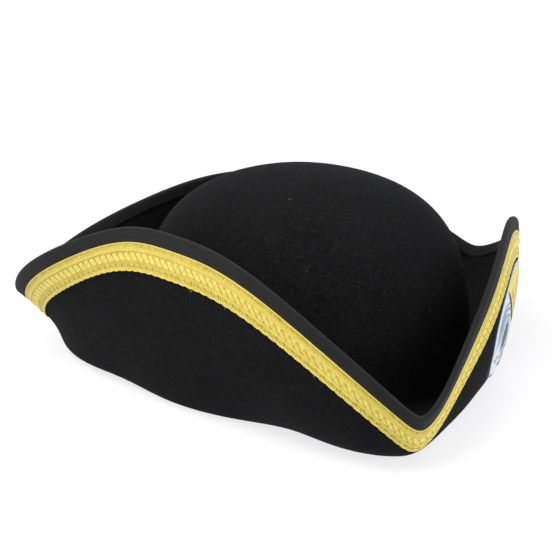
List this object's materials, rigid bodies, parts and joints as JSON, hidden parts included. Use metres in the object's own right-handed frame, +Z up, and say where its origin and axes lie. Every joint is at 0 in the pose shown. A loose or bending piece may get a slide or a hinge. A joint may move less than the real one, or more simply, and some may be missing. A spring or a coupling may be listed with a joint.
{
  "type": "pirate hat",
  "caption": "Felt tricorn hat with a round crown, three turned-up brim panels, a bound edge, gold braid and an embroidered skull on the front panel.",
  "frame": {"origin": "on the surface that the hat stands on, under the middle of the hat's bounding box", "axes": "+Z up out of the crown, -Y the way the front panel with the emblem faces, +X the wearer's left"},
  "size_m": [0.3374, 0.3216, 0.1305],
  "materials": {
    "felt": "matte, fuzzy wool felt",
    "ribbon": "ribbed grosgrain, low sheen",
    "braid": "woven metallic thread",
    "wire": "thread-covered steel wire",
    "band": "ribbed cotton ribbon",
    "label": "blank satin",
    "patch": "matte twill",
    "pale_thread": "rayon embroidery thread, silky",
    "gold_thread": "metallic embroidery thread"
  },
  "bodies": {
    "hat": {"felt_body": "felt", "edge_binding": "ribbon", "brim_wire": "wire", "gold_braid": "braid", "sweatband": "band", "sweatband_bow": "band", "emblem_backing": "patch", "emblem_skull": "pale_thread", "emblem_bandana": "gold_thread"},
    "label": {"size_label": "label"}
  },
  "joints": [
    {"name": "label_flip", "type": "hinge", "parent": "hat", "child": "label", "pos_m": [0.07344, -0.0304, 0.029], "axis": [0, 1, 0], "range_deg": [0, 140]}
  ]
}
